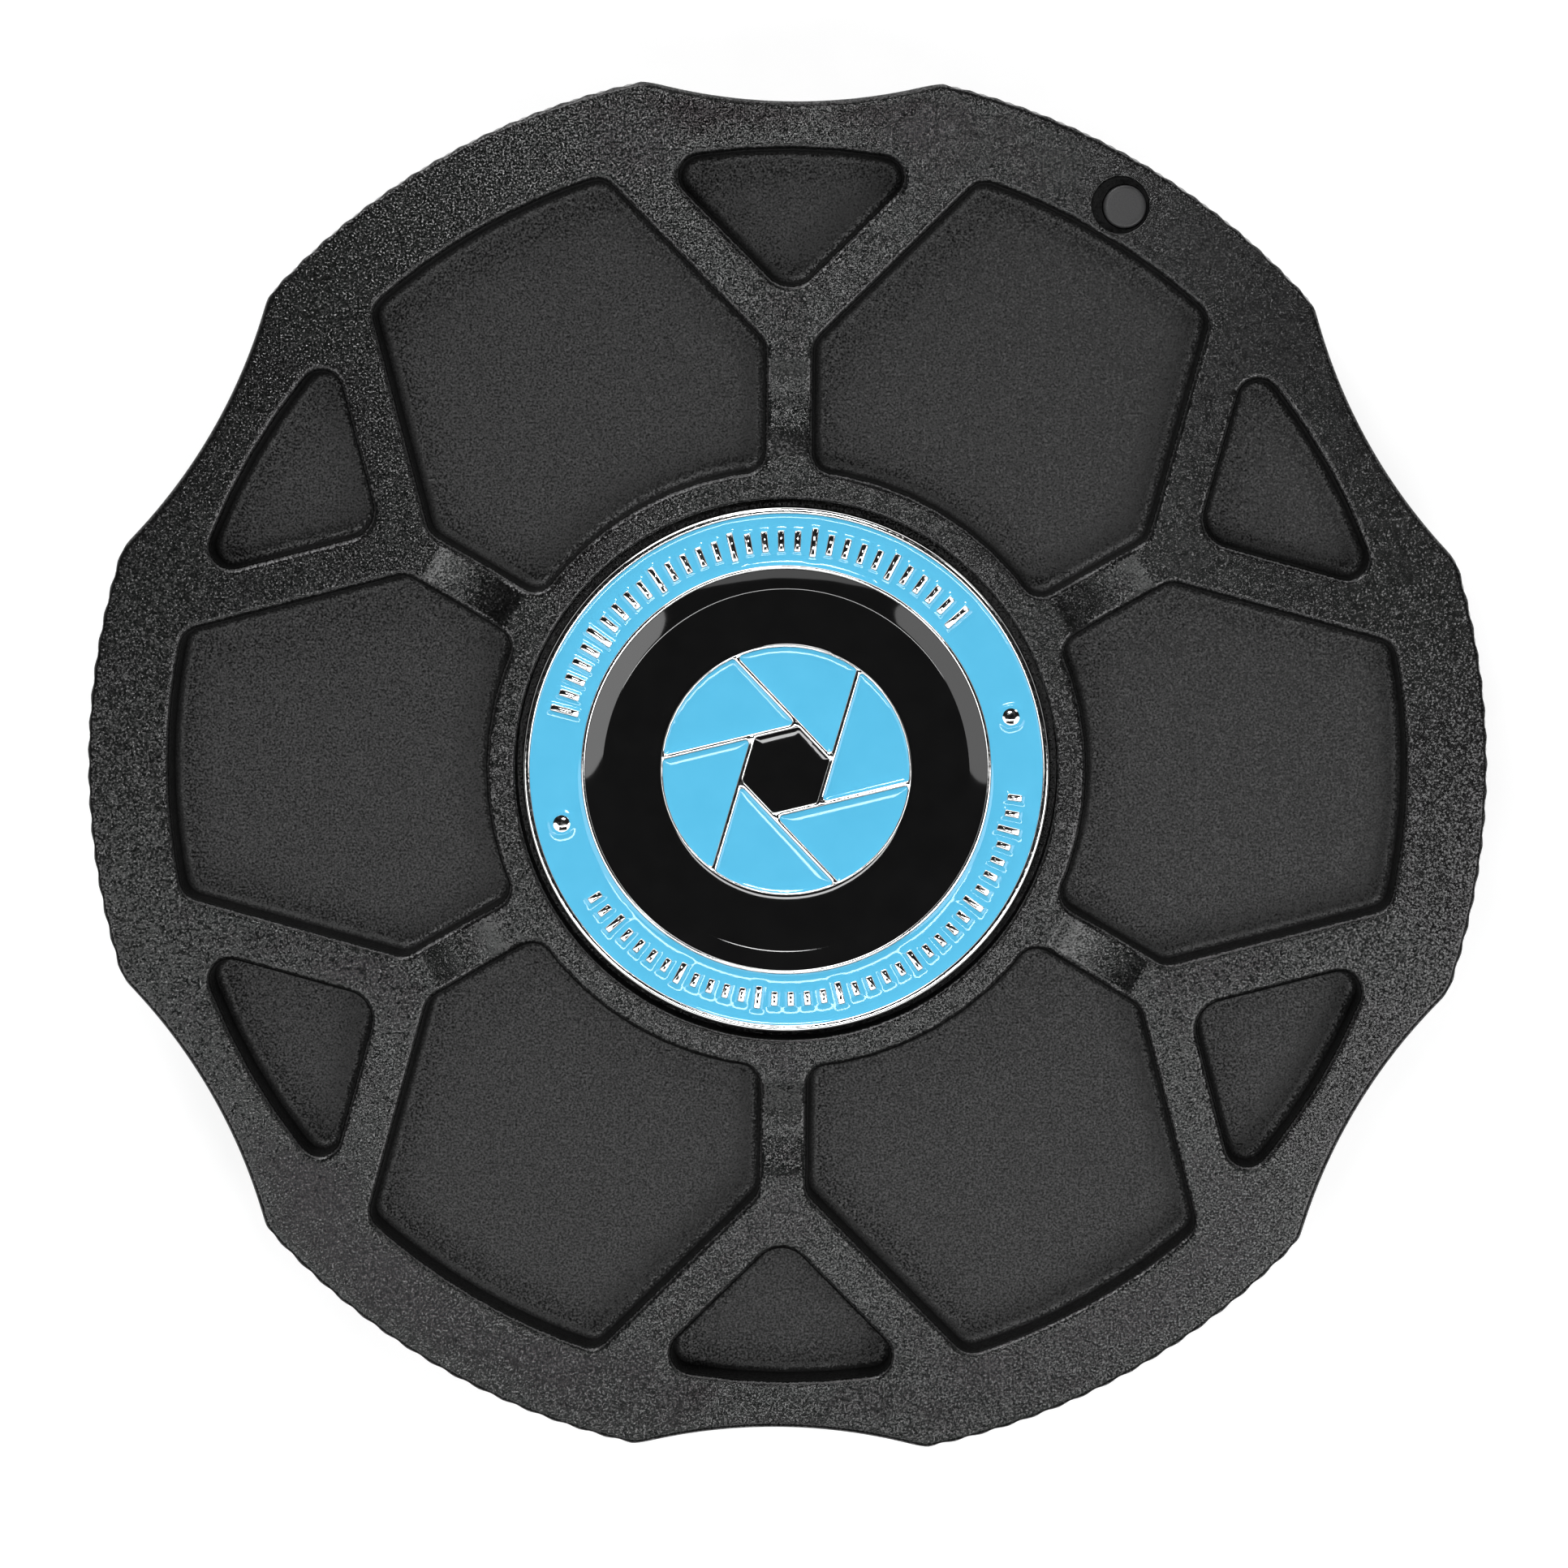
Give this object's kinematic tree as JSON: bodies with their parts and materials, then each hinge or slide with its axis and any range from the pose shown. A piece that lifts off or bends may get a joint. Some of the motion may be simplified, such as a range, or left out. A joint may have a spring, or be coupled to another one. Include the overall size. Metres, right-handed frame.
{
  "type": "camera body cap",
  "caption": "Round metal camera body cap with a scalloped knurled rim, ribbed pocketed face, enamelled centre badge, index pin and a lugged bayonet barrel at the back.",
  "frame": {"origin": "on the cap's axis, at the rear end of the bayonet barrel, which the cap stands on", "axes": "+Z is the front of the cap, +Y points to the scallop at the top of the face, and +X to the right of the face; the index pin is 60 degrees anticlockwise from +X"},
  "size_m": [0.068, 0.0664, 0.0115],
  "materials": {
    "anodised_body": "bead-blasted black anodised",
    "anodised_pin": "fine-turned black anodised",
    "turned_ring": "turned black anodised",
    "screw_steel": "bright",
    "adhesive": "matt foam tape",
    "badge_metal": "polished nickel plate",
    "blue_enamel": "glossy soft enamel",
    "black_enamel": "glossy soft enamel"
  },
  "bodies": {
    "root": {"face_plate": "anodised_body", "index_pin": "anodised_pin", "bayonet_ring": "turned_ring", "bayonet_screw_1": "screw_steel", "bayonet_screw_2": "screw_steel", "bayonet_screw_3": "screw_steel", "bayonet_screw_4": "screw_steel", "bayonet_screw_5": "screw_steel", "bayonet_screw_6": "screw_steel", "badge_adhesive_pad": "adhesive", "badge_base": "badge_metal", "badge_ring_enamel": "blue_enamel", "badge_field_enamel": "black_enamel", "iris_centre_enamel": "black_enamel", "iris_blade_enamel_1": "blue_enamel", "iris_blade_enamel_2": "blue_enamel", "iris_blade_enamel_3": "blue_enamel", "iris_blade_enamel_4": "blue_enamel", "iris_blade_enamel_5": "blue_enamel", "iris_blade_enamel_6": "blue_enamel"}
  },
  "joints": []
}
